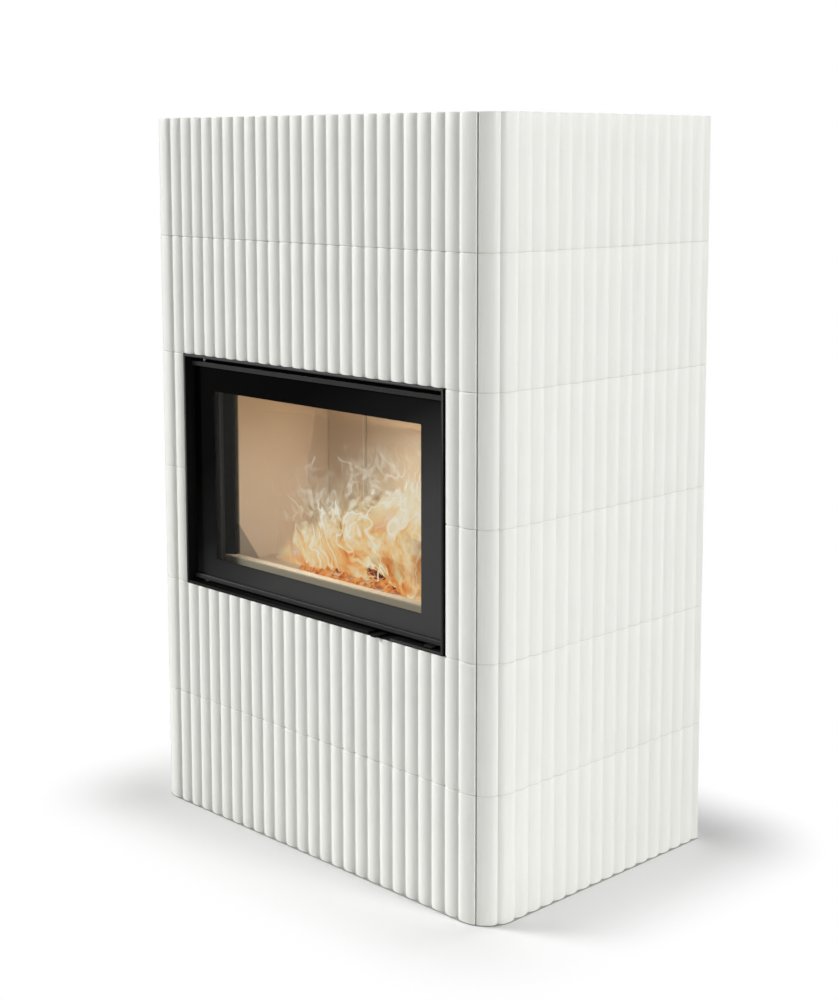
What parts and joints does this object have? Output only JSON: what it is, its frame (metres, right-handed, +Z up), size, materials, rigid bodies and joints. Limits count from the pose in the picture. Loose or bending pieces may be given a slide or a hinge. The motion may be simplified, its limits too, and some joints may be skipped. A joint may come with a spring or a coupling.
{
  "type": "tiled wood stove",
  "caption": "Tall wood stove clad in reeded glazed tiles, with a steel fire box behind a wide side-hinged glass door, a latch, an air slide, a flue outlet on top and an air inlet below.",
  "frame": {"origin": "on the floor, under the middle of the object's box", "axes": "+Z up, -Y out of the door side, +X to the right of someone facing the door"},
  "size_m": [1.023, 0.6464, 1.5],
  "materials": {
    "tile_glaze": "satin white glaze with a faint warm green cast",
    "plinth_paint": "light grey powder coat",
    "black_steel": "matt black heat-proof paint",
    "rail_paint": "dark grey satin heat-proof paint",
    "zinc_steel": "zinc-plated steel",
    "cast_iron": "rough blackened casting",
    "fire_brick": "unglazed beige fire clay",
    "vermiculite": "pressed vermiculite board",
    "fire_glass": "clear heat-proof glass with a black printed border",
    "felt": "grey mineral felt",
    "rope": "dark braided glass-fibre rope",
    "bush_brass": "plain turned brass"
  },
  "bodies": {
    "stove_body": {"air_box": "black_steel", "air_duct": "zinc_steel", "back_linings": "fire_brick", "back_plate": "black_steel", "baffle_plate": "vermiculite", "base_plate": "plinth_paint", "casing_screws": "zinc_steel", "corner_posts": "zinc_steel", "firebox_bolts": "zinc_steel", "firebox_bottom": "black_steel", "firebox_top": "black_steel", "firebox_wrap": "black_steel", "flue_collar": "cast_iron", "flue_pipe": "black_steel", "front_frame": "black_steel", "front_plate": "black_steel", "front_tile_1": "tile_glaze", "front_tile_2": "tile_glaze", "front_tile_5": "tile_glaze", "front_tile_6": "tile_glaze", "hearth_bricks": "fire_brick", "hinge_pins": "zinc_steel", "jamb_tile_left_3": "tile_glaze", "jamb_tile_left_4": "tile_glaze", "jamb_tile_right_3": "tile_glaze", "jamb_tile_right_4": "tile_glaze", "latch_keeper": "zinc_steel", "levelling_feet": "zinc_steel", "log_guard": "fire_brick", "side_lining_left": "fire_brick", "side_lining_right": "fire_brick", "side_tile_left_1": "tile_glaze", "side_tile_left_2": "tile_glaze", "side_tile_left_3": "tile_glaze", "side_tile_left_4": "tile_glaze", "side_tile_left_5": "tile_glaze", "side_tile_left_6": "tile_glaze", "side_tile_right_1": "tile_glaze", "side_tile_right_2": "tile_glaze", "side_tile_right_3": "tile_glaze", "side_tile_right_4": "tile_glaze", "side_tile_right_5": "tile_glaze", "side_tile_right_6": "tile_glaze", "stand_legs": "black_steel", "stand_rails": "black_steel", "tile_joint_strips": "felt", "top_plate": "black_steel", "valve_guides": "zinc_steel"},
    "door": {"door_frame": "black_steel", "door_glass": "fire_glass", "glass_gasket": "felt", "door_gasket": "rope", "glass_rail_top": "rail_paint", "glass_rail_bottom": "rail_paint", "rail_screws": "zinc_steel", "hinge_bushes": "bush_brass", "handle_pivot": "zinc_steel"},
    "handle": {"door_handle": "black_steel"},
    "air_slide": {"air_lever": "black_steel", "air_valve_plate": "zinc_steel"}
  },
  "joints": [
    {"name": "door_hinge", "type": "hinge", "parent": "stove_body", "child": "door", "pos_m": [-0.3595, -0.28325, 0.749], "axis": [0, 0, -1], "range_deg": [0, 100]},
    {"name": "handle_turn", "type": "hinge", "parent": "door", "child": "handle", "pos_m": [0.35, -0.27825, 0.5092], "axis": [0, 0, 1], "range_deg": [0, 32]},
    {"name": "air_slide", "type": "slide", "parent": "stove_body", "child": "air_slide", "axis": [1, 0, 0], "range_m": [-0.013, 0.027]}
  ]
}
